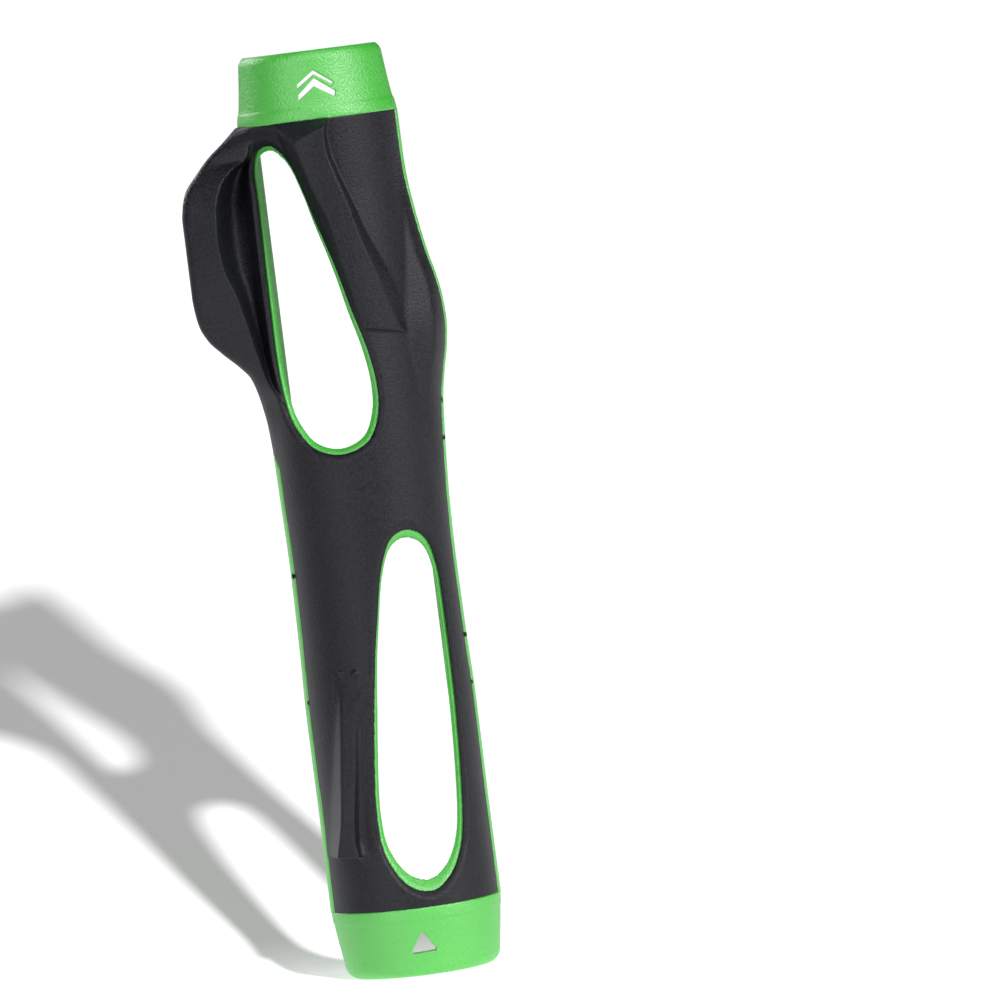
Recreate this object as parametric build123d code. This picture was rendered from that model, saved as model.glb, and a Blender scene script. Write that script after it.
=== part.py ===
from build123d import *
import math
import os

# Clip-on golf grip training sleeve: a C-shaped tube moulded in two shots, a green
# hard-plastic core and a black rubber skin with the hand-placement forms.
# Frame: origin on the bore axis at the lower rim, +Z up the bore to the chevron
# collar, the marks and windows face -Y and the slot opens towards +Y.  Millimetres.

LENGTH = 175.0
LOW_EDGE = 12.9            # skin starts above the triangle collar
HIGH_EDGE = 161.8          # skin ends below the chevron collar
PARTING_Y = -3.5           # apart from the wing, the skin lies in front of this plane
SKIN = 1.2                 # skin thickness over the core
BORE = 13.2                # bore radius between the two grip lands
LOW_LAND = 12.1            # grip land radius in the triangle collar
HIGH_LAND = 11.7           # grip land radius in the chevron collar
LAND_DEPTH = 9.0           # length of each grip land
SLOT_HALF_ANGLE = 56.0     # slot edge measured from +Y
BAND = 2.2                 # raised band on each collar, next to the skin
BAND_STEP = 0.15
RIM_FILLET = 1.8           # rounding of the two outer rims
WING_BACK_Y = 2.4          # the wing's back face reaches this far behind the bore axis

# Barrel outline between the collars: radius at each height.
BARREL = [
    (15.95, LOW_EDGE), (15.80, 40.0), (15.60, 78.0), (15.75, 115.0), (15.40, 140.0), (14.95, HIGH_EDGE),
]

# Right-hand swelling, a turned pod whose axis stands to the right of the bore's.
POD_AXIS = (5.2, -0.5)
POD = [(9.6, 96.0), (11.8, 110.0), (14.0, 121.0), (12.6, 132.0), (9.4, 148.0)]

# Window outlines at the skin surface, x and z.
WINDOW_1 = [
    (-12.6, 156.9), (-9.0, 156.4), (-5.6, 150.4), (-1.8, 137.5), (1.3, 125.5),
    (4.0, 112.5), (3.3, 104.6), (-3.8, 99.3), (-10.6, 103.6), (-13.2, 116.0),
    (-13.3, 135.0), (-13.2, 152.0),
]
WINDOW_2 = [
    (6.4, 83.1), (10.6, 78.0), (11.5, 65.0), (11.3, 50.0), (10.2, 30.0),
    (7.2, 19.9), (2.2, 16.3), (-3.0, 19.8), (-5.3, 28.5), (-4.2, 44.0),
    (-1.6, 63.0), (1.2, 77.5),
]


def smooth_turned(profile):
    """Solid turned about the bore axis from a smooth (r, z) outline."""
    low = profile[0]
    high = profile[-1]
    side = Spline(*profile)
    ends = Polyline(high, (0, high[1]), (0, low[1]), low)
    return revolve(Plane.XZ * make_face(side + ends), Axis.Z)


def barrel(inset):
    """The tube's outside between the two collars, moved in by inset."""
    tube = smooth_turned([(r - inset, z) for r, z in BARREL])
    pod = smooth_turned([(r - inset, z) for r, z in POD])
    return tube + Pos(*POD_AXIS, 0) * pod


def turned(*points):
    """A ring turned about the bore axis from an (r, z) outline."""
    return revolve(Plane.XZ * make_face(Polyline(*points, close=True)), Axis.Z)


def low_collar():
    """Triangle collar: flares from the rim to the raised band."""
    top = LOW_EDGE
    rim_radius = 14.35
    band_radius = 15.75
    ring = turned(
        (0, 0), (rim_radius, 0), (band_radius, top - BAND), (band_radius + BAND_STEP, top - BAND),
        (15.95, top), (0, top),
    )
    rim = ring.edges().filter_by(GeomType.CIRCLE).sort_by(Axis.Z)[0]
    return fillet(rim, RIM_FILLET)


def high_collar():
    """Chevron collar: narrows from the raised band to the rim."""
    low = HIGH_EDGE
    rim_radius = 13.5
    band_radius = 14.72
    ring = turned(
        (0, low), (14.95, low), (band_radius + BAND_STEP, low + BAND), (band_radius, low + BAND),
        (rim_radius, LENGTH), (0, LENGTH),
    )
    rim = ring.edges().filter_by(GeomType.CIRCLE).sort_by(Axis.Z)[-1]
    return fillet(rim, RIM_FILLET)


def bore():
    """Grip bore: two true cylinders in the collars and a wider run between them."""
    neck = 5.0
    return turned(
        (0, -1), (LOW_LAND, -1), (LOW_LAND, LAND_DEPTH), (BORE, LAND_DEPTH + neck),
        (BORE, LENGTH - LAND_DEPTH - neck), (HIGH_LAND, LENGTH - LAND_DEPTH), (HIGH_LAND, LENGTH + 1),
        (0, LENGTH + 1),
    )


def slot():
    """Wedge that opens the tube at the back for its whole length."""
    deep = 30.0
    wide = deep * math.tan(math.radians(SLOT_HALF_ANGLE))
    wedge = make_face(Polyline((0, 0), (wide, deep), (-wide, deep), close=True))
    return Pos(0, 0, -5) * extrude(wedge, LENGTH + 10)


def smooth_face(y, points):
    """Closed smooth outline of (x, z) points on the plane at this y."""
    return make_face(Spline(*[(x, y, z) for x, z in points], periodic=True))


def window(points, centre, draft):
    """Drafted opening: full size at the skin, smaller at the bore."""
    cx, cz = centre
    small = [(cx + (x - cx) * draft[0], cz + (z - cz) * draft[1]) for x, z in points]
    return loft([smooth_face(-22, points), smooth_face(-4, small)])


def through_mark(*points):
    """Opening cut straight through a collar wall from the front."""
    return extrude(Plane.XZ * make_face(Polyline(*points, close=True)), 20)


def chevrons():
    """Two nested direction marks in the chevron collar, points towards the rim."""
    upper = through_mark(
        (-0.1, 170.8), (-3.3, 168.5), (-3.3, 167.7), (-0.1, 170.0), (3.3, 167.7), (3.3, 168.4)
    )
    lower = through_mark(
        (-0.1, 169.3), (-3.4, 166.6), (-3.4, 165.4), (-0.1, 167.8), (3.4, 165.5), (3.4, 166.6)
    )
    return upper + lower


def triangle():
    """Single direction mark in the triangle collar."""
    mark = through_mark((-0.1, 8.6), (-2.5, 4.5), (2.3, 4.5))
    return fillet(mark.edges().filter_by(Axis.Y), 0.5)


def wing_section(z, crest, edge, root):
    """Thumb wing cut across: scoop side, crest, outer face, rounded edge, back."""
    inner_x = -8.0
    scoop = Spline((inner_x, root), (-14.4, root - 0.4), crest, tangents=[(-1, 0), (-0.55, -1)])
    face = Line(crest, edge)
    rounding = (edge[0] + 1.5, edge[1] + 2.8)
    back = Spline(edge, rounding, (-14.0, WING_BACK_Y), (inner_x, WING_BACK_Y))
    close = Line((inner_x, WING_BACK_Y), (inner_x, root))
    return Plane.XY.offset(z) * make_face([scoop, face, back, close])


def wing():
    """Left wing that carries the thumb scoop."""
    stations = [
        (161.4, (-14.9, -6.2), (-16.2, -2.6), -6.0),
        (155.0, (-16.2, -10.4), (-23.0, -5.8), -7.6),
        (147.0, (-21.0, -12.6), (-27.2, -7.4), -7.6),
        (136.0, (-21.4, -12.6), (-27.6, -7.8), -7.6),
        (124.5, (-18.2, -11.4), (-26.6, -7.0), -7.4),
        (115.0, (-16.0, -9.4), (-18.6, -4.6), -7.4),
        (107.0, (-14.9, -6.8), (-15.9, -2.8), -6.4),
    ]
    return loft([wing_section(*station) for station in stations])


def ridge():
    """Diagonal thumb ridge between the first window and the groove."""
    band = make_face(
        Polyline((-9.0, 160.6), (1.0, 160.9), (10.4, 120.8), (4.0, 121.6), close=True)
    )
    bar = extrude(Plane.XZ * band, 24)
    crown = turned(
        (0, 119), (17.2, 119), (18.2, 150), (18.0, 156.5), (14.9, HIGH_EDGE), (0, HIGH_EDGE)
    )
    return Part() + (bar & crown).solids()


def fin_section(z, foot, left, right, inner):
    outline = Polyline((-7.5, -5.5), foot, left, right, inner, close=True)
    return Plane.XY.offset(z) * make_face(outline)


def fin():
    """Lower fin beside the second window, tallest at the triangle collar."""
    return loft(
        [
            fin_section(56.0, (-10.4, -11.0), (-9.4, -12.3), (-4.6, -14.9), (-4.2, -13.0)),
            fin_section(38.0, (-13.8, -6.5), (-11.6, -13.2), (-8.9, -15.4), (-5.8, -13.6)),
            fin_section(22.4, (-15.0, -4.2), (-13.4, -14.2), (-9.4, -17.0), (-6.6, -12.6)),
        ],
        ruled=True,
    )


def back_space():
    """Everything behind the parting plane, where the core is bare."""
    return Pos(0, PARTING_Y + 20, LENGTH / 2) * Box(80, 40, LENGTH)


def windows():
    first = window(WINDOW_1, (-5.0, 122.0), (0.93, 0.975))
    second = window(WINDOW_2, (3.2, 48.0), (0.90, 0.955))
    return first + second


def build():
    outer = barrel(0)
    inner = barrel(SKIN)
    openings = windows()
    hollow = bore()
    shell = outer - inner - back_space()

    core = outer + low_collar() + high_collar()
    core = core - shell - hollow - slot() - openings - chevrons() - triangle()

    skin = shell + (wing() + ridge() + fin() - outer)
    skin = skin - openings
    return core, skin


def main():
    os.makedirs("parts", exist_ok=True)
    core, skin = build()
    for name, shape in (("core_sleeve", core), ("grip_skin", skin)):
        solids = shape.solids()
        print(name, len(solids), [round(s.volume, 1) for s in solids], shape.is_valid)
        export_step(shape, f"parts/{name}.step")


main()
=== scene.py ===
import math

import bpy
import numpy as np
from mathutils import Matrix, Vector


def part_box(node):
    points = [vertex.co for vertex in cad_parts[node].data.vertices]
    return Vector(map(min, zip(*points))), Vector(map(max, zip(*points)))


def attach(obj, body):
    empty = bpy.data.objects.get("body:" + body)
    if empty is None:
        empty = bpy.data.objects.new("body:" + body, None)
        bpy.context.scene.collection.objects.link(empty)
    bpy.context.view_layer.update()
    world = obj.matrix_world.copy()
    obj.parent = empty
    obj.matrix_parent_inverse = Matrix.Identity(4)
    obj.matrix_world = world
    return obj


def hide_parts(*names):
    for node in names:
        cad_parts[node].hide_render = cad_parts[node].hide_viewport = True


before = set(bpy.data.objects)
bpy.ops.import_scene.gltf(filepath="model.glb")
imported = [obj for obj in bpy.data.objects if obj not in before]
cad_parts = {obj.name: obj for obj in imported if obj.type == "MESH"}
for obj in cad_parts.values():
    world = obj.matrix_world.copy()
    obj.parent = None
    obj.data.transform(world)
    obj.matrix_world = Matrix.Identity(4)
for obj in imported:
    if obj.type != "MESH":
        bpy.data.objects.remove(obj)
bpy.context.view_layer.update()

# A clip-on golf grip training sleeve.  Its two mouldings are shaped here as distance fields in
# millimetres, in the frame's axes: +Z up the bore, -Y the front with marks and windows, and
# the slot open towards +Y.  Each field is then meshed and set into the frame in metres.

MM = 0.001
core_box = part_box("core_sleeve")
skin_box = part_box("grip_skin")
LENGTH = core_box[1][2] / MM
SKIN_LOW = skin_box[0][2] / MM
SKIN_HIGH = skin_box[1][2] / MM
PARTING_Y = -3.5           # the skin's side edges lie here, further back behind the wing
SKIN = 1.2                 # skin thickness over the core
PROUD = 0.22               # how far the bare core's sides stand out from the skin
CELL = 0.28
FINE_CELL = 0.14
BLOCK = 8                  # the fields are sampled in blocks of this many cells a side


# ---------------------------------------------------------------- curves and fields

def curve(*knots):
    """Smooth function through (position, value) knots, positions rising, with no overshoot."""
    at = np.array([k[0] for k in knots], float)
    value = np.array([k[1] for k in knots], float)
    rise = np.diff(value) / np.diff(at)
    level = rise[:-1] * rise[1:] <= 0
    total = np.where(level, 1.0, rise[:-1] + rise[1:])
    middle = np.where(level, 0.0, 2 * rise[:-1] * rise[1:] / total)
    slope = np.concatenate([rise[:1], middle, rise[-1:]])
    fine = np.linspace(at[0], at[-1], 1600)
    i = np.clip(np.searchsorted(at, fine, side="right") - 1, 0, len(at) - 2)
    h = at[i + 1] - at[i]
    t = (fine - at[i]) / h
    line = (
        (2 * t**3 - 3 * t**2 + 1) * value[i] + (t**3 - 2 * t**2 + t) * h * slope[i]
        + (3 * t**2 - 2 * t**3) * value[i + 1] + (t**3 - t**2) * h * slope[i + 1]
    )
    return lambda q: np.interp(q, fine, line)


def smin(a, b, k):
    """Union of two fields with a soft fillet about k wide."""
    h = np.clip(0.5 + 0.5 * (b - a) / k, 0, 1)
    return b + (a - b) * h - k * h * (1 - h)


def smax(a, b, k):
    """Intersection of two fields with a softened edge."""
    return -smin(-a, -b, k)


def rounded(a, b, r):
    """Intersection of two fields whose edge has radius r."""
    corner = np.hypot(np.maximum(a + r, 0), np.maximum(b + r, 0))
    return np.minimum(np.maximum(a, b) + r, 0) + corner - r


def ramp(q, start, end):
    """0 before start, 1 after end, smooth between."""
    t = np.clip((q - start) / (end - start), 0, 1)
    return t * t * (3 - 2 * t)


def half_plane(x, y, x0, y0, x1, y1):
    """Distance in the XY plane from the line through two points, positive on its left."""
    dx = x1 - x0
    dy = y1 - y0
    return (dx * (y - y0) - dy * (x - x0)) / np.hypot(dx, dy)


def closed_line(points, steps=14):
    """Smooth closed line through the points."""
    p = np.array(points, float)
    t = np.linspace(0, 1, steps, endpoint=False)[:, None]
    line = []
    for i in range(len(p)):
        a, b, c, d = p[i - 1], p[i], p[(i + 1) % len(p)], p[(i + 2) % len(p)]
        bend = 2 * a - 5 * b + 4 * c - d + t * (3 * (b - c) + d - a)
        line.append(b + 0.5 * t * (c - a + t * bend))
    return np.concatenate(line)


def polygon_distance(line, x, z):
    """Signed distance from points to a closed line, negative inside."""
    best = np.full(x.shape, 1e9)
    inside = np.zeros(x.shape, bool)
    for (ax, az), (bx, bz) in zip(line, np.roll(line, -1, axis=0)):
        ex = bx - ax
        ez = bz - az
        t = np.clip(((x - ax) * ex + (z - az) * ez) / (ex * ex + ez * ez + 1e-12), 0, 1)
        best = np.minimum(best, np.hypot(x - ax - t * ex, z - az - t * ez))
        crosses = (az > z) != (bz > z)
        inside ^= crosses & (x < (bx - ax) * (z - az) / (bz - az + 1e-12) + ax)
    return np.where(inside, -best, best)


class Outline:
    """Distance to a closed smooth outline in the XZ plane, kept on a grid."""

    STEP = 0.2

    def __init__(self, points, margin=5.0):
        line = closed_line(points)
        self.low = line.min(axis=0) - margin
        size = np.ceil((line.max(axis=0) + margin - self.low) / self.STEP).astype(int) + 1
        self.size = size
        gx = self.low[0] + self.STEP * np.arange(size[0])
        gz = self.low[1] + self.STEP * np.arange(size[1])
        self.grid = polygon_distance(line, *np.meshgrid(gx, gz, indexing="ij"))

    def __call__(self, x, z):
        u = np.clip((x - self.low[0]) / self.STEP, 0, self.size[0] - 1.001)
        v = np.clip((z - self.low[1]) / self.STEP, 0, self.size[1] - 1.001)
        i = u.astype(int)
        j = v.astype(int)
        u = u - i
        v = v - j
        g = self.grid
        return (
            (g[i, j] * (1 - u) + g[i + 1, j] * u) * (1 - v)
            + (g[i, j + 1] * (1 - u) + g[i + 1, j + 1] * u) * v
        )


# ---------------------------------------------------------------- tube and swelling

tube_radius = curve(
    (SKIN_LOW, 15.95), (30, 15.85), (50, 15.9), (63, 15.6), (78, 15.45), (92, 15.7), (105, 15.9),
    (120, 15.8), (138, 15.4), (150, 15.0), (SKIN_HIGH, 14.95),
)
pod_radius = curve(
    (84, 9.6), (94, 10.6), (101, 11.1), (107, 11.6), (112, 12.5), (117, 13.55), (121.5, 14.0),
    (126, 13.75), (129.5, 13.2), (134, 12.15), (140, 11.05), (146, 10.2), (154, 9.2),
)
POD_X = 5.2                          # axis of the swelling
POD_Y = -1.0
VALLEY_END = (10.8, -11.4, 120.8)    # where the ridge, groove and swelling meet
UPPER_FACET = (0.309, -0.951, 0.145)
LOWER_FACET = (0.309, -0.951, -0.076)


def plane(x, y, z, normal, point):
    """Distance to a plane through the point, positive on the side its normal shows."""
    n = np.array(normal) / np.linalg.norm(normal)
    return n[0] * (x - point[0]) + n[1] * (y - point[1]) + n[2] * (z - point[2])


def barrel(x, y, z):
    """The tube with the faceted swelling on its right."""
    tube = np.hypot(x, y) - tube_radius(z)
    pod = np.hypot(x - POD_X, y - POD_Y) - pod_radius(z)
    upper = plane(x, y, z, UPPER_FACET, VALLEY_END)
    lower = plane(x, y, z, LOWER_FACET, VALLEY_END)
    swelling = smax(smax(pod, upper, 0.7), lower, 0.9)
    return smin(tube, swelling, 0.5)


# ---------------------------------------------------------------- thumb ridge

ridge_left = curve(
    (118, 5.2), (122.6, 4.1), (126.6, 3.0), (134.5, 0.95), (143.2, -1.0), (148.7, -3.1),
    (157.8, -5.75), (161.8, -7.2),
)
ridge_right = curve(
    (118, 11.0), (120.7, 10.3), (126.3, 8.4), (132.7, 6.6), (139.3, 4.6), (146.4, 2.85),
    (151.6, 1.3), (155.8, 0.3), (158.4, 0.2), (161.8, 1.0),
)
ridge_crown = curve((118, 16.5), (121, 16.7), (130, 17.4), (140, 17.9), (150, 18.2), (162, 18.2))
ridge_foot = curve(
    (118, 0.9), (121.7, 1.1), (127, 2.4), (131, 2.4), (135, 1.9), (142, 1.2), (149, 0.8), (162, 0.5),
)
LEFT_FLANK = 1.9                     # width of the left flank, crown to foot
LOW_END = (4.05, 121.8)              # where the left edge meets the lower end
HIGH_END = (-5.75, 157.8)            # where the left edge meets the upper end
LOW_END_SLOPE = -0.22
HIGH_END_SLOPE = 0.394


def ridge(x, y, z):
    """Diagonal bar between the first window and the groove, with its stepped ends."""
    r = np.hypot(x, y)
    crown = ridge_crown(z)
    height = crown - tube_radius(z)
    drop = (crown - r) / height
    left = (0.96 * (ridge_left(z) - x) - drop * LEFT_FLANK) / np.hypot(1, LEFT_FLANK / height)
    right_width = ridge_foot(z)
    right = (0.95 * (x - ridge_right(z)) - drop * right_width) / np.hypot(1, right_width / height)
    low_end = LOW_END[1] + LOW_END_SLOPE * (x - LOW_END[0]) - z - 0.25 * (crown - r)
    edge = HIGH_END[1] + HIGH_END_SLOPE * (x - HIGH_END[0])
    slope = np.maximum(SKIN_HIGH - edge, 1.0)
    high_end = 0.93 * (z - edge - drop * slope) / np.hypot(1, slope / height)
    body = smax(smax(r - crown, left, 0.3), right, 0.25)
    return np.maximum(smax(smax(body, low_end, 0.25), high_end, 0.5), y)


# ---------------------------------------------------------------- lower fin

fin_left_x = curve(
    (20, -14.4), (24.3, -13.9), (29.7, -12.7), (40, -11.4), (50, -10.15), (56.8, -9.3), (60, -9.0),
)
fin_right_x = curve(
    (20, -9.6), (24.2, -10.2), (26.5, -10.5), (29.5, -10.3), (40.5, -8.7), (49.4, -7.5),
    (51.9, -6.6), (56.2, -4.2), (60, -2.5),
)
fin_foot_x = curve(
    (20, -15.6), (23.9, -15.4), (27.4, -14.9), (38.2, -13.1), (48.8, -11.4), (55.7, -10.3), (60, -9.8),
)
fin_left_r = curve((20, 19.2), (30, 19.1), (40, 18.1), (50, 17.0), (52.5, 16.6), (57.5, 15.5), (60, 15.0))
fin_right_r = curve((20, 18.4), (30, 18.4), (40, 17.7), (50, 16.8), (52.5, 16.5), (57.5, 15.5), (60, 15.0))
FIN_LOW = 23.9                       # the step at the fin's lower end
FIN_HIGH = 58.5                      # where the fin fades out
FIN_RIGHT_FLANK = (1.2, 2.6)         # right flank's direction, away from the top edge
SHELF_SINK = 0.45                    # how deep the shelf beside the fin is


def fin(x, y, z):
    """Finger fin: a wedge that grows towards the triangle collar and ends in a step."""
    lx = fin_left_x(z)
    ly = -np.sqrt(fin_left_r(z) ** 2 - lx**2)
    rx = fin_right_x(z)
    ry = -np.sqrt(fin_right_r(z) ** 2 - rx**2)
    fx = fin_foot_x(z)
    fy = -np.sqrt(np.maximum(tube_radius(z) ** 2 - fx**2, 0.0))
    top = half_plane(x, y, rx, ry, lx, ly)
    left = half_plane(x, y, lx, ly, fx, fy)
    right = half_plane(x, y, rx + FIN_RIGHT_FLANK[0], ry + FIN_RIGHT_FLANK[1], rx, ry)
    sides = smax(smax(top, left, 0.4), right, 0.4)
    sides = np.maximum(sides, fx - 0.3 - x)
    return smax(smax(sides, FIN_LOW - z, 0.3), z - FIN_HIGH, 0.5)


def fin_shelf(x, z):
    """How deep the skin is sunk between the fin and the second window."""
    across = ramp(x, fin_right_x(z) - 0.4, fin_right_x(z) + 1.0) * (1 - ramp(x, -3.0, 1.0))
    return SHELF_SINK * across * ramp(z, FIN_LOW, FIN_LOW + 2.5) * (1 - ramp(z, 50, 57))


# ---------------------------------------------------------------- thumb wing

wing_crest_x = curve(
    (98, -10.0), (104, -11.0), (108.8, -12.9), (114, -15.7), (118.2, -16.8), (124, -18.0),
    (130.8, -19.5), (136, -21.2), (141.5, -21.7), (147, -21.3), (151.1, -20.0), (153.9, -17.7),
    (155.9, -14.6), (159, -12.6), (163, -11.4),
)
wing_crest_y = curve(
    (98, -11.0), (104, -10.9), (108.8, -9.6), (114, -10.0), (118.2, -10.9), (124, -11.7),
    (130.8, -12.4), (136, -12.8), (141.5, -12.9), (147, -12.6), (151.1, -11.6), (153.9, -10.4),
    (155.9, -8.6), (159, -8.2), (163, -9.2),
)
wing_edge_x = curve(
    (98, -15.5), (102, -16.0), (106.6, -16.6), (109.4, -17.1), (111.6, -17.6), (115, -18.7),
    (117.2, -20.4), (120, -23.2), (122.9, -25.7), (125.7, -27.0), (128.5, -27.5), (131.3, -27.7),
    (145.4, -27.7), (148.3, -27.3), (151, -26.4), (153.9, -24.1), (156.7, -21.5), (159.5, -18.1),
    (161.8, -15.6), (164, -13.4),
)
wing_edge_y = curve(
    (98, -2.0), (104, -3.0), (108.5, -4.2), (114.4, -7.6), (120, -8.6), (125.7, -9.0), (135, -9.4),
    (148.3, -9.2), (153.9, -8.0), (159.5, -5.4), (162.2, -3.4), (164, -2.6),
)
scoop_edge_x = curve(
    (104, -10.6), (108.8, -12.5), (114, -13.8), (120, -14.3), (150, -14.3), (154, -13.9),
    (157, -12.4), (163, -10.9),
)
WING_LOW = 99.0                      # the wing's lower end, sunk in the tube
WING_ROOT = (-14.5, 1.5)             # a point of the wing's back face near the tube, x and y
WING_THICKNESS = 3.2                 # thickness at the outer edge
SCOOP_DEPTH = 2.6                    # how far the hollow sinks behind its edge on the tube


def wing(x, y, z):
    """Left wing: flat outer face, sharp crest and the hollow scoop beside the first window."""
    cx = wing_crest_x(z)
    cy = wing_crest_y(z)
    ex = wing_edge_x(z)
    ey = wing_edge_y(z)
    sx = np.maximum(scoop_edge_x(z), cx + 0.2)
    sy = -np.sqrt(np.maximum(tube_radius(z) ** 2 - sx**2, 0.0)) + 0.1
    face = half_plane(x, y, cx, cy, ex, ey)
    edge = 0.8 * (ex - x)
    back = half_plane(x, y, *WING_ROOT, ex, ey + WING_THICKNESS)
    s = np.clip((sx - x) / (sx - cx), 0, 2)
    pocket = SCOOP_DEPTH * np.clip(4 * s * (1 - s), 0, 1)
    hollow = sy + pocket + np.minimum(cy - sy, -0.4) * s**5
    scoop = 0.5 * (hollow - y)
    body = smax(smax(face, edge, 1.1), -back, 1.5)
    body = smax(body, scoop, 0.5)
    return smax(np.maximum(body, x - sx - 0.8), WING_LOW - z, 0.8)


# ---------------------------------------------------------------- windows, bore, slot and marks

WINDOW_DEPTH_Y = -3.0                # the windows are cut from the front as far as this plane
WALL = 1.4                           # core wall under the skin, the unit of the windows' draft


class Window:
    """Opening cut from the front, narrowing from the skin to the bore."""

    def __init__(self, centre, draft, points):
        self.centre = centre
        self.draft = draft
        self.outline = Outline(points)

    def skin_edge(self, x, z):
        """Distance to the opening's outline at the skin."""
        return self.outline(x, z)

    def __call__(self, x, y, z):
        depth = np.clip((tube_radius(z) - SKIN - np.hypot(x, y)) / WALL, -1.2, 1.4)
        cx, cz = self.centre
        sx = 1 - self.draft[0] * depth
        sz = 1 - self.draft[1] * depth
        cut = self.outline(cx + (x - cx) / sx, cz + (z - cz) / sz)
        return np.maximum(cut, y - WINDOW_DEPTH_Y)


upper_window = Window((-4.0, 118.0), (0.11, 0.051), [
    (-12.0, 156.4), (-9.6, 157.2), (-6.9, 154.0), (-5.0, 148.5), (-3.5, 142.9), (-1.8, 137.3),
    (-0.3, 131.7), (1.0, 126.1), (3.2, 117.7), (4.1, 110.8), (3.5, 105.3), (1.1, 101.0),
    (-3.8, 99.3), (-8.5, 100.9), (-11.3, 105.0), (-12.5, 109.3), (-13.1, 115.5), (-13.2, 122.0),
    (-13.1, 134.0), (-12.9, 147.0), (-12.9, 153.0),
])
lower_window = Window((1.5, 50.0), (0.094, 0.055), [
    (6.4, 83.1), (9.6, 81.2), (11.1, 76.5), (11.5, 70.0), (11.5, 53.3), (11.0, 40.0), (10.1, 28.6),
    (8.8, 22.8), (6.4, 18.6), (2.8, 16.3), (-1.6, 18.0), (-4.7, 23.4), (-5.4, 29.5), (-5.0, 37.0),
    (-3.8, 48.0), (-2.4, 59.0), (-0.9, 67.6), (0.8, 76.0), (3.1, 81.5),
])
windows = (upper_window, lower_window)

bore_radius = curve(
    (-6, 12.1), (0, 12.1), (8, 12.1), (10.5, 12.35), (13.5, 13.0), (16, 13.2), (156, 13.2),
    (160, 13.0), (165, 11.95), (167.5, 11.7), (175, 11.7), (181, 11.7),
)
MOUTH_FLARE = 0.9                    # the bore opens by this much at each rim
MOUTH_LENGTH = 1.4                   # height over which it opens
SLOT_HALF_ANGLE = math.radians(56)   # slot edge measured from +Y


def bore(x, y, z):
    """Grip bore, opened a little at both rims."""
    flare = MOUTH_FLARE * (ramp(-z, -MOUTH_LENGTH, 0.4) + ramp(z, LENGTH - MOUTH_LENGTH, LENGTH + 0.4))
    return np.hypot(x, y) - bore_radius(z) - flare


def slot(x, y):
    """Wedge that opens the tube at the back for its whole length."""
    return np.abs(x) * math.cos(SLOT_HALF_ANGLE) - y * math.sin(SLOT_HALF_ANGLE)


CHEVRONS = [
    np.array([
        (-0.15, 170.75), (-3.35, 168.5), (-3.4, 167.7), (-0.05, 170.0), (3.25, 167.7), (3.3, 168.2),
    ]),
    np.array([
        (-0.15, 169.3), (-3.4, 166.5), (-3.45, 165.4), (-0.3, 167.75), (3.3, 165.45), (3.6, 166.45),
    ]),
]
TRIANGLE = np.array([(-0.1, 8.05), (-2.0, 4.95), (1.8, 5.1)])
TRIANGLE_ROUNDING = 0.4
MARK_ZONES = ((2.6, 9.6), (164.6, 173.2))    # heights around the marks, meshed finely
MARK_HALF_WIDTH = 5.4


def marks(x, y, z):
    """Direction marks cut through the collars: two chevrons above, a triangle below."""
    cut = np.full(x.shape, 5.0)
    kinds = (([TRIANGLE], TRIANGLE_ROUNDING), (CHEVRONS, 0.0))
    for (low, high), (shapes, rounding) in zip(MARK_ZONES, kinds):
        near = (z > low - 3) & (z < high + 3) & (y < 0) & (np.abs(x) < MARK_HALF_WIDTH + 3)
        for shape in shapes:
            distance = polygon_distance(shape, x[near], z[near]) - rounding
            cut[near] = np.minimum(cut[near], distance)
    return cut


# ---------------------------------------------------------------- moulding crumbs

# Each crumb is x, y, z, radius and stretch along z.
NUBS = ((-6.4, -14.3, 58.0, 0.75, 1.0), (-9.0, -12.9, 58.2, 0.5, 1.2))
FLASH = (
    (16.45, -3.2, 106.6, 0.32, 3.6), (16.05, -3.2, 99.4, 0.28, 2.4), (15.45, -3.4, 62.0, 0.26, 2.2),
    (15.5, -3.4, 53.0, 0.26, 1.6), (-15.35, -3.4, 77.0, 0.26, 2.2), (-15.5, -3.4, 53.0, 0.26, 2.0),
)


def crumbs(x, y, z, grains):
    """Little lumps left on the rubber by the mould."""
    best = np.full(x.shape, 9.0)
    for cx, cy, cz, radius, tall in grains:
        away = np.sqrt((x - cx) ** 2 + (y - cy) ** 2 + ((z - cz) / tall) ** 2)
        best = np.minimum(best, away - radius)
    return best


# ---------------------------------------------------------------- the two mouldings

low_collar_radius = curve(
    (-6, 14.1), (0, 14.45), (4.5, 15.0), (7.3, 15.4), (10.2, 15.75), (12.0, 15.88), (20, 16.0),
)
high_collar_radius = curve(
    (150, 15.3), (162, 14.93), (165, 14.45), (168, 14.05), (171, 13.72), (175, 13.35), (181, 13.0),
)
BAND = 2.2                           # raised band on each collar, next to the skin
BAND_STEP = 0.13                     # how far the band stands out
RIM_RADIUS = 2.2                     # rounding of the two outer rims
WING_PARTING = 6.5                   # behind the wing the side edge lies this much further back
TRIM = 1.6                           # the skin is cut off this far behind its side edge
LAND_SINK = 0.5                      # the skin is sunk this much at a window's edge
LAND_WIDTH = 1.3                     # width of that sunk land


def low_collar(x, y, z):
    """Triangle collar with its raised band and rounded rim."""
    step = BAND_STEP * ramp(z, SKIN_LOW - BAND - 0.12, SKIN_LOW - BAND + 0.12)
    side = np.hypot(x, y) - low_collar_radius(z) - step
    return np.maximum(rounded(side, -z, RIM_RADIUS), z - SKIN_LOW - 0.2)


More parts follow.
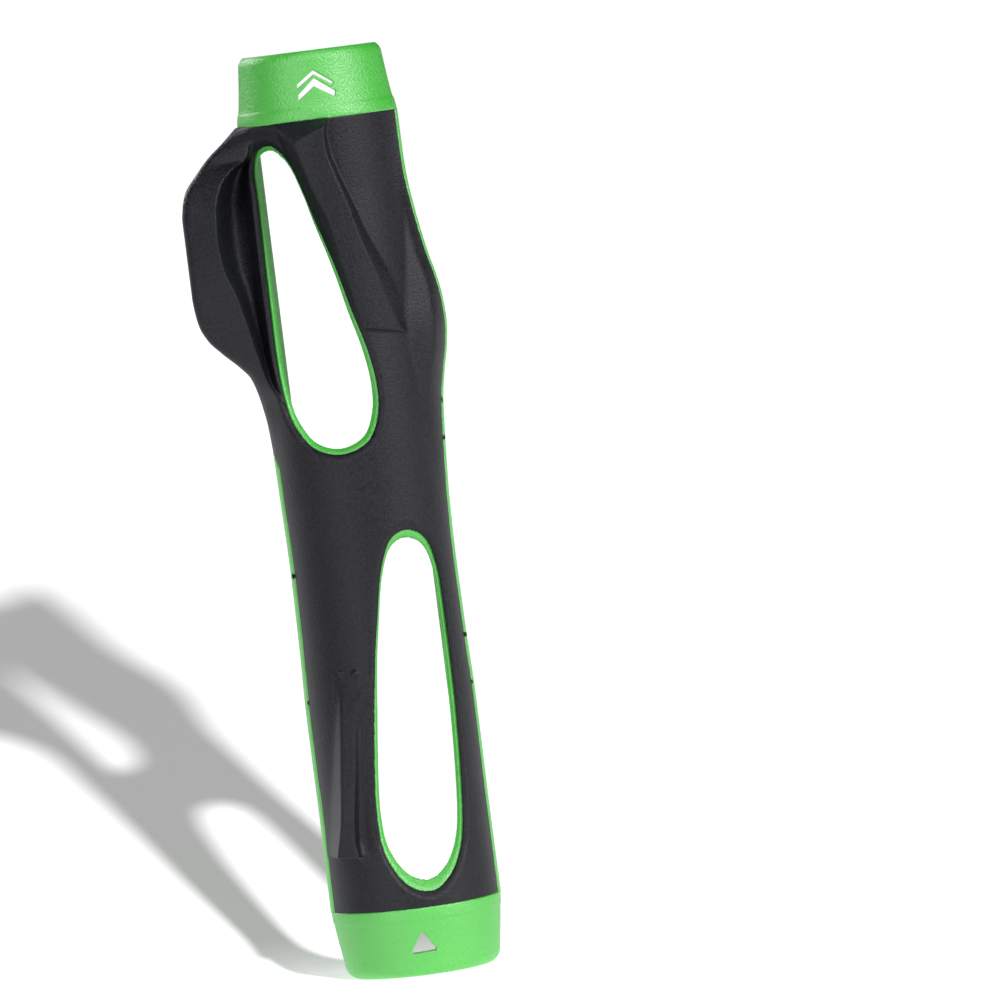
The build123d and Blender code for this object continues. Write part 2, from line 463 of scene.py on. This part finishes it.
def high_collar(x, y, z):
    """Chevron collar with its raised band and rounded rim."""
    step = BAND_STEP * ramp(-z, -SKIN_HIGH - BAND - 0.12, -SKIN_HIGH - BAND + 0.12)
    side = np.hypot(x, y) - high_collar_radius(z) - step
    return np.maximum(rounded(side, z - LENGTH, RIM_RADIUS), SKIN_HIGH - 0.2 - z)


def parting(x, z):
    """Where the skin's side edges lie: behind the wing they run further back."""
    return PARTING_Y + WING_PARTING * ramp(z, 97, 104) * ramp(-x, 2, 8)


def under_skin(x, y, z, outside):
    """What the core fills between the collars: bare at the sides and back, sunk in front."""
    bare = smax(outside - PROUD, parting(x, z) - y, 0.35)
    return np.minimum(outside + SKIN, bare)


def core_field(x, y, z):
    """The hard-plastic core."""
    body = under_skin(x, y, z, barrel(x, y, z))
    body = np.maximum(body, np.maximum(SKIN_LOW - 0.1 - z, z - SKIN_HIGH + 0.1))
    solid = np.minimum(np.minimum(body, low_collar(x, y, z)), high_collar(x, y, z))
    solid = smax(solid, -bore(x, y, z), 0.5)
    solid = smax(solid, -slot(x, y), 0.9)
    for window in windows:
        solid = smax(solid, -window(x, y, z), 0.5)
    return smax(solid, -marks(x, y, z), 0.12)


def skin_field(x, y, z):
    """The rubber skin with its ridge, wing and fin."""
    tube = barrel(x, y, z)
    form = smin(tube, ridge(x, y, z), 0.25)
    form = smin(form, wing(x, y, z), 0.9)
    form = form + fin_shelf(x, z) * (y < 0)
    fin_fillet = 0.4 + 1.2 * ramp(x, fin_right_x(z) - 0.3, fin_right_x(z) + 0.6)
    form = smin(form, fin(x, y, z), fin_fillet)
    form = smin(form, crumbs(x, y, z, NUBS), 0.12)
    for window in windows:
        form = form + LAND_SINK * np.clip(1 - window.skin_edge(x, z) / LAND_WIDTH, 0, 1.3) * (y < 0)
    inside = under_skin(x, y, z, tube)
    form = smax(form, -inside, 0.05)
    form = smax(form, y - parting(x, z) - TRIM, 0.3)
    form = smin(form, crumbs(x, y, z, FLASH), 0.1)
    for window in windows:
        form = smax(form, -window(x, y, z), 0.6)
    ends = np.maximum(SKIN_LOW + 0.02 - z, z - SKIN_HIGH + 0.02)
    return smax(form, ends, 0.25)


# ---------------------------------------------------------------- meshing

def axis_points(low, high, fine_zones):
    """Grid lines along one axis, closer together inside the fine zones."""
    points = [low]
    while points[-1] < high:
        fine = any(a <= points[-1] < b for a, b in fine_zones)
        points.append(points[-1] + (FINE_CELL if fine else CELL))
    spare = (-len(points)) % BLOCK
    for _ in range(spare):
        points.append(points[-1] + CELL)
    return np.array(points)


def sample(field, axes):
    """The field on the grid, worked out only near the surface."""
    counts = [len(a) // BLOCK for a in axes]
    middles = [0.5 * (a.reshape(-1, BLOCK)[:, 0] + a.reshape(-1, BLOCK)[:, -1]) for a in axes]
    spans = [a.reshape(-1, BLOCK)[:, -1] - a.reshape(-1, BLOCK)[:, 0] + CELL for a in axes]
    mx, my, mz = (m.ravel() for m in np.meshgrid(*middles, indexing="ij"))
    reach = 0.5 * np.sqrt(sum(s**2 for s in np.meshgrid(*spans, indexing="ij"))).reshape(counts)
    rough = field(mx, my, mz).reshape(counts)
    grid = np.repeat(np.repeat(np.repeat(rough, BLOCK, 0), BLOCK, 1), BLOCK, 2)
    blocks = np.argwhere(np.abs(rough) < reach * 1.25 + 0.8)
    offsets = np.stack(np.meshgrid(*[np.arange(BLOCK)] * 3, indexing="ij"), -1).reshape(-1, 3)
    for part in np.array_split(blocks, max(1, len(blocks) // 1500)):
        at = (part[:, None, :] * BLOCK + offsets[None]).reshape(-1, 3)
        i, j, k = at.T
        grid[i, j, k] = field(axes[0][i], axes[1][j], axes[2][k])
    return grid


def surface(grid, axes):
    """Quads round the zero level, one vertex in each crossed cell."""
    inside = grid < 0
    shape = np.array(grid.shape) - 1
    totals = []
    cells = []
    quads = []
    for axis in range(3):
        near = [slice(None)] * 3
        far = [slice(None)] * 3
        near[axis] = slice(0, -1)
        far[axis] = slice(1, None)
        at = np.argwhere(inside[tuple(near)] != inside[tuple(far)])
        other = [a for a in range(3) if a != axis]
        keep = np.all((at[:, other] > 0) & (at[:, other] < shape[other]), axis=1)
        at = at[keep]
        step = np.zeros(3, int)
        step[axis] = 1
        value = grid[tuple(at.T)]
        after = grid[tuple((at + step).T)]
        t = value / (value - after)
        point = np.stack([axes[a][at[:, a]] for a in range(3)], 1)
        point[:, axis] += t * (axes[axis][at[:, axis] + 1] - axes[axis][at[:, axis]])
        ring = []
        for u, v in ((0, 0), (1, 0), (1, 1), (0, 1)):
            cell = at.copy()
            cell[:, other[0]] -= u
            cell[:, other[1]] -= v
            ring.append(np.ravel_multi_index(cell.T, shape))
            totals.append(point)
            cells.append(ring[-1])
        quad = np.stack(ring, 1)
        flip = (value < 0) == (axis == 1)
        quad[flip] = quad[flip][:, ::-1]
        quads.append(quad)
    cells = np.concatenate(cells)
    totals = np.concatenate(totals)
    used, index = np.unique(cells, return_inverse=True)
    count = np.bincount(index)
    points = np.stack([np.bincount(index, totals[:, a]) / count for a in range(3)], 1)
    quads = np.searchsorted(used, np.concatenate(quads))
    return points, quads


def slope_of(field, points, step=0.02):
    """The field and its gradient at the points."""
    value = field(*points.T)
    slope = np.stack([
        field(*(points + step * np.eye(3)[a]).T) - value for a in range(3)
    ], 1) / step
    return value, slope


def settle(field, points, quads):
    """Evens out the vertices along the surface and sets them on it."""
    edges = np.concatenate([quads[:, [a, (a + 1) % 4]] for a in range(4)])
    start = points.copy()
    for turn in range(4):
        if turn in (1, 2):
            count = np.bincount(edges[:, 0], minlength=len(points))
            mean = np.stack([
                np.bincount(edges[:, 0], points[edges[:, 1], a], len(points)) for a in range(3)
            ], 1) / np.maximum(count, 1)[:, None]
            points = 0.5 * points + 0.5 * mean
        for _ in range(2):
            value, slope = slope_of(field, points)
            size = np.maximum((slope**2).sum(1), 0.2)
            points = points - np.clip(value / size, -0.3, 0.3)[:, None] * slope
    moved = points - start
    far = np.linalg.norm(moved, axis=1, keepdims=True)
    return start + moved * np.minimum(1, 1.2 * CELL / np.maximum(far, 1e-9))


def moulding(name, field, low, high, fine_x, fine_z, material):
    """Meshes a field inside a box of millimetres and makes it an object in metres."""
    axes = [
        axis_points(low[0], high[0], fine_x),
        axis_points(low[1], high[1], []),
        axis_points(low[2], high[2], fine_z),
    ]
    points, quads = surface(sample(field, axes), axes)
    points = settle(field, points, quads)
    mesh = bpy.data.meshes.new(name)
    mesh.vertices.add(len(points))
    mesh.vertices.foreach_set("co", (points * MM).ravel())
    mesh.loops.add(4 * len(quads))
    mesh.loops.foreach_set("vertex_index", quads.ravel())
    mesh.polygons.add(len(quads))
    mesh.polygons.foreach_set("loop_start", np.arange(len(quads)) * 4)
    mesh.update(calc_edges=True)
    mesh.validate()
    mesh.polygons.foreach_set("use_smooth", np.ones(len(mesh.polygons), bool))
    mesh.materials.append(material)
    piece = bpy.data.objects.new(name, mesh)
    bpy.context.scene.collection.objects.link(piece)
    return piece


# ---------------------------------------------------------------- materials

def new_material(name):
    """A material with its node tree and its shader."""
    material = bpy.data.materials.new(name)
    material.use_nodes = True
    tree = material.node_tree
    shader = tree.nodes["Principled BSDF"]
    return material, tree, shader


def noise(tree, scale, detail, roughness=0.5):
    """Noise fixed to the object, scale in features per metre."""
    coordinates = tree.nodes.new("ShaderNodeTexCoord")
    texture = tree.nodes.new("ShaderNodeTexNoise")
    texture.inputs["Scale"].default_value = scale
    texture.inputs["Detail"].default_value = detail
    texture.inputs["Roughness"].default_value = roughness
    tree.links.new(coordinates.outputs["Object"], texture.inputs["Vector"])
    return texture.outputs["Fac"]


def spread(tree, source, low, high, from_low=0.3, from_high=0.7):
    """Maps a value's range to low..high."""
    node = tree.nodes.new("ShaderNodeMapRange")
    node.inputs["From Min"].default_value = from_low
    node.inputs["From Max"].default_value = from_high
    node.inputs["To Min"].default_value = low
    node.inputs["To Max"].default_value = high
    tree.links.new(source, node.inputs["Value"])
    return node.outputs["Result"]


def tint(tree, source, dark, light):
    """Colour between dark and light."""
    node = tree.nodes.new("ShaderNodeMix")
    node.data_type = "RGBA"
    node.inputs["A"].default_value = (*dark, 1)
    node.inputs["B"].default_value = (*light, 1)
    tree.links.new(source, node.inputs["Factor"])
    return node.outputs["Result"]


def bump(tree, source, distance, strength):
    """Surface normal raised by a value, distance in metres."""
    node = tree.nodes.new("ShaderNodeBump")
    node.inputs["Distance"].default_value = distance
    node.inputs["Strength"].default_value = strength
    tree.links.new(source, node.inputs["Height"])
    return node.outputs["Normal"]


def green_plastic():
    """Injection-moulded hard plastic with a satin, faintly sparked surface."""
    material, tree, shader = new_material("green_plastic")
    grain = noise(tree, 2200, 2, 0.6)
    drift = noise(tree, 60, 2)
    shader.inputs["Subsurface Weight"].default_value = 0.12
    shader.inputs["Subsurface Radius"].default_value = (0.2, 1.0, 0.25)
    shader.inputs["Subsurface Scale"].default_value = 0.0012
    shader.inputs["IOR"].default_value = 1.6
    shader.inputs["Specular IOR Level"].default_value = 1.0
    colour = tint(tree, drift, (0.045, 0.42, 0.03), (0.055, 0.47, 0.04))
    tree.links.new(colour, shader.inputs["Base Color"])
    tree.links.new(spread(tree, grain, 0.36, 0.5), shader.inputs["Roughness"])
    tree.links.new(bump(tree, grain, 0.00022, 0.8), shader.inputs["Normal"])
    return material


def black_rubber():
    """Matte thermoplastic rubber with a fine even grain."""
    material, tree, shader = new_material("black_rubber")
    grain = noise(tree, 2200, 2, 0.7)
    shader.inputs["IOR"].default_value = 1.45
    shader.inputs["Specular IOR Level"].default_value = 0.38
    speckle = spread(tree, grain, 0, 1)
    colour = tint(tree, speckle, (0.0005, 0.0006, 0.0028), (0.013, 0.0133, 0.019))
    tree.links.new(colour, shader.inputs["Base Color"])
    tree.links.new(spread(tree, grain, 0.42, 0.54), shader.inputs["Roughness"])
    tree.links.new(bump(tree, grain, 0.00016, 0.7), shader.inputs["Normal"])
    return material


# ---------------------------------------------------------------- pieces

core = moulding(
    "sleeve_core", core_field, (-18, -18, -1), (21, 16, LENGTH + 1),
    [(-MARK_HALF_WIDTH, MARK_HALF_WIDTH)], MARK_ZONES, green_plastic(),
)
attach(core, "root")
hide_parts("core_sleeve")

skin = moulding(
    "sleeve_skin", skin_field, (-30, -21, SKIN_LOW - 1), (21, 5, SKIN_HIGH + 1), [], [], black_rubber(),
)
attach(skin, "root")
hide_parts("grip_skin")


# ---------------------------------------------------------------- floor, light and camera

SHEET_FRONT = -0.9         # the white sheet's front and back edges
SHEET_BACK = 0.5
SHEET_HALF_WIDTH = 1.2
SWEEP_START = 0.018        # the sheet lies flat up to here, then slopes up behind the sleeve
SWEEP_REACH = 0.03         # the flat turns into the slope over this distance
SWEEP_SLOPE = 0.30
FLAT_GLOW = 0.66
SLOPE_GLOW = 0.36


def white_sheet():
    """Matte white that glows a little, less on the slope, where the light falls more squarely."""
    material, tree, shader = new_material("white_sheet")
    shader.inputs["Base Color"].default_value = (0.9, 0.9, 0.9, 1)
    shader.inputs["Roughness"].default_value = 1.0
    shader.inputs["Specular IOR Level"].default_value = 0.0
    shader.inputs["Emission Color"].default_value = (1, 1, 1, 1)
    coordinates = tree.nodes.new("ShaderNodeTexCoord")
    split = tree.nodes.new("ShaderNodeSeparateXYZ")
    tree.links.new(coordinates.outputs["Object"], split.inputs["Vector"])
    sweep = (SWEEP_START, SWEEP_START + SWEEP_REACH)
    glow = spread(tree, split.outputs["Y"], FLAT_GLOW, SLOPE_GLOW, *sweep)
    tree.links.new(glow, shader.inputs["Emission Strength"])
    return material


def backdrop():
    """White sheet: flat under the sleeve, sloping up behind it, so the shadow falls up and left."""
    profile = [(SHEET_FRONT, 0.0)]
    for t in np.linspace(0, 1, 13):
        profile.append((SWEEP_START + SWEEP_REACH * t, 0.5 * SWEEP_SLOPE * SWEEP_REACH * t * t))
    profile.append((SHEET_BACK, SWEEP_SLOPE * (SHEET_BACK - SWEEP_START - 0.5 * SWEEP_REACH)))
    points = [(x, y, z) for y, z in profile for x in (-SHEET_HALF_WIDTH, SHEET_HALF_WIDTH)]
    faces = [(2 * i, 2 * i + 1, 2 * i + 3, 2 * i + 2) for i in range(len(profile) - 1)]
    mesh = bpy.data.meshes.new("backdrop")
    mesh.from_pydata(points, [], faces)
    mesh.materials.append(white_sheet())
    for face in mesh.polygons:
        face.use_smooth = True
    sheet = bpy.data.objects.new("backdrop", mesh)
    bpy.context.scene.collection.objects.link(sheet)
    return sheet


def aim(thing, target):
    """Turns a light or camera towards a point."""
    direction = Vector(target) - thing.location
    thing.rotation_euler = direction.to_track_quat("-Z", "Y").to_euler()


def group(name, things):
    """A named set of objects that a light can be limited to."""
    collection = bpy.data.collections.new(name)
    for thing in things:
        collection.objects.link(thing)
    return collection


def sun(name, azimuth, elevation, spread_angle, strength, lit):
    """Distant light on one group, at an azimuth measured from the front, positive to the right."""
    data = bpy.data.lights.new(name, "SUN")
    data.angle = math.radians(spread_angle)
    data.energy = strength
    light = bpy.data.objects.new(name, data)
    turn = math.radians(azimuth)
    rise = math.radians(elevation)
    flat = math.cos(rise)
    light.location = (flat * math.sin(turn), -flat * math.cos(turn), math.sin(rise))
    bpy.context.scene.collection.objects.link(light)
    light.light_linking.receiver_collection = lit
    aim(light, (0, 0, 0))


def studio(seen, cast):
    """White surroundings: how bright the camera sees them and how much light they cast."""
    scene_world = bpy.data.worlds.new("studio")
    scene_world.use_nodes = True
    tree = scene_world.node_tree
    back = tree.nodes["Background"]
    path = tree.nodes.new("ShaderNodeLightPath")
    strength = tree.nodes.new("ShaderNodeMapRange")
    strength.inputs["To Min"].default_value = cast
    strength.inputs["To Max"].default_value = seen
    back.inputs["Color"].default_value = (1, 1, 1, 1)
    tree.links.new(path.outputs["Is Camera Ray"], strength.inputs["Value"])
    tree.links.new(strength.outputs["Result"], back.inputs["Strength"])
    bpy.context.scene.world = scene_world
    bpy.context.scene.view_settings.view_transform = "Standard"


def camera():
    """Long lens level with the upper rim, rolled so that the sleeve leans to the left."""
    distance = 1.7
    eye_height = 0.175
    target = (0.0252, 0, 0.0861)
    azimuth = math.radians(-2.0)
    roll = math.radians(-7.15)
    view_width = 0.188
    sensor_width = 36
    data = bpy.data.cameras.new("camera")
    data.sensor_width = sensor_width
    data.lens = sensor_width * distance / view_width
    eye = bpy.data.objects.new("camera", data)
    eye.location = (distance * math.sin(azimuth), -distance * math.cos(azimuth), eye_height)
    bpy.context.scene.collection.objects.link(eye)
    aim(eye, target)
    eye.rotation_euler = (eye.matrix_basis @ Matrix.Rotation(roll, 4, "Z")).to_euler()
    bpy.context.scene.camera = eye


sheet_group = group("sheet", [backdrop()])
sleeve_group = group("sleeve", [core, skin])
studio(seen=1.0, cast=0.05)
sun("shadow_key", 17, 22, 2.3, 3.9, sheet_group)
sun("right_key", 40, 30, 14, 1.9, sleeve_group)
sun("top_box", -8, 50, 22, 0.8, sleeve_group)
sun("left_box", -35, 14, 22, 0.9, sleeve_group)
sun("right_box", 60, 12, 22, 0.8, sleeve_group)
sun("left_rim", -140, 25, 22, 1.2, sleeve_group)
camera()
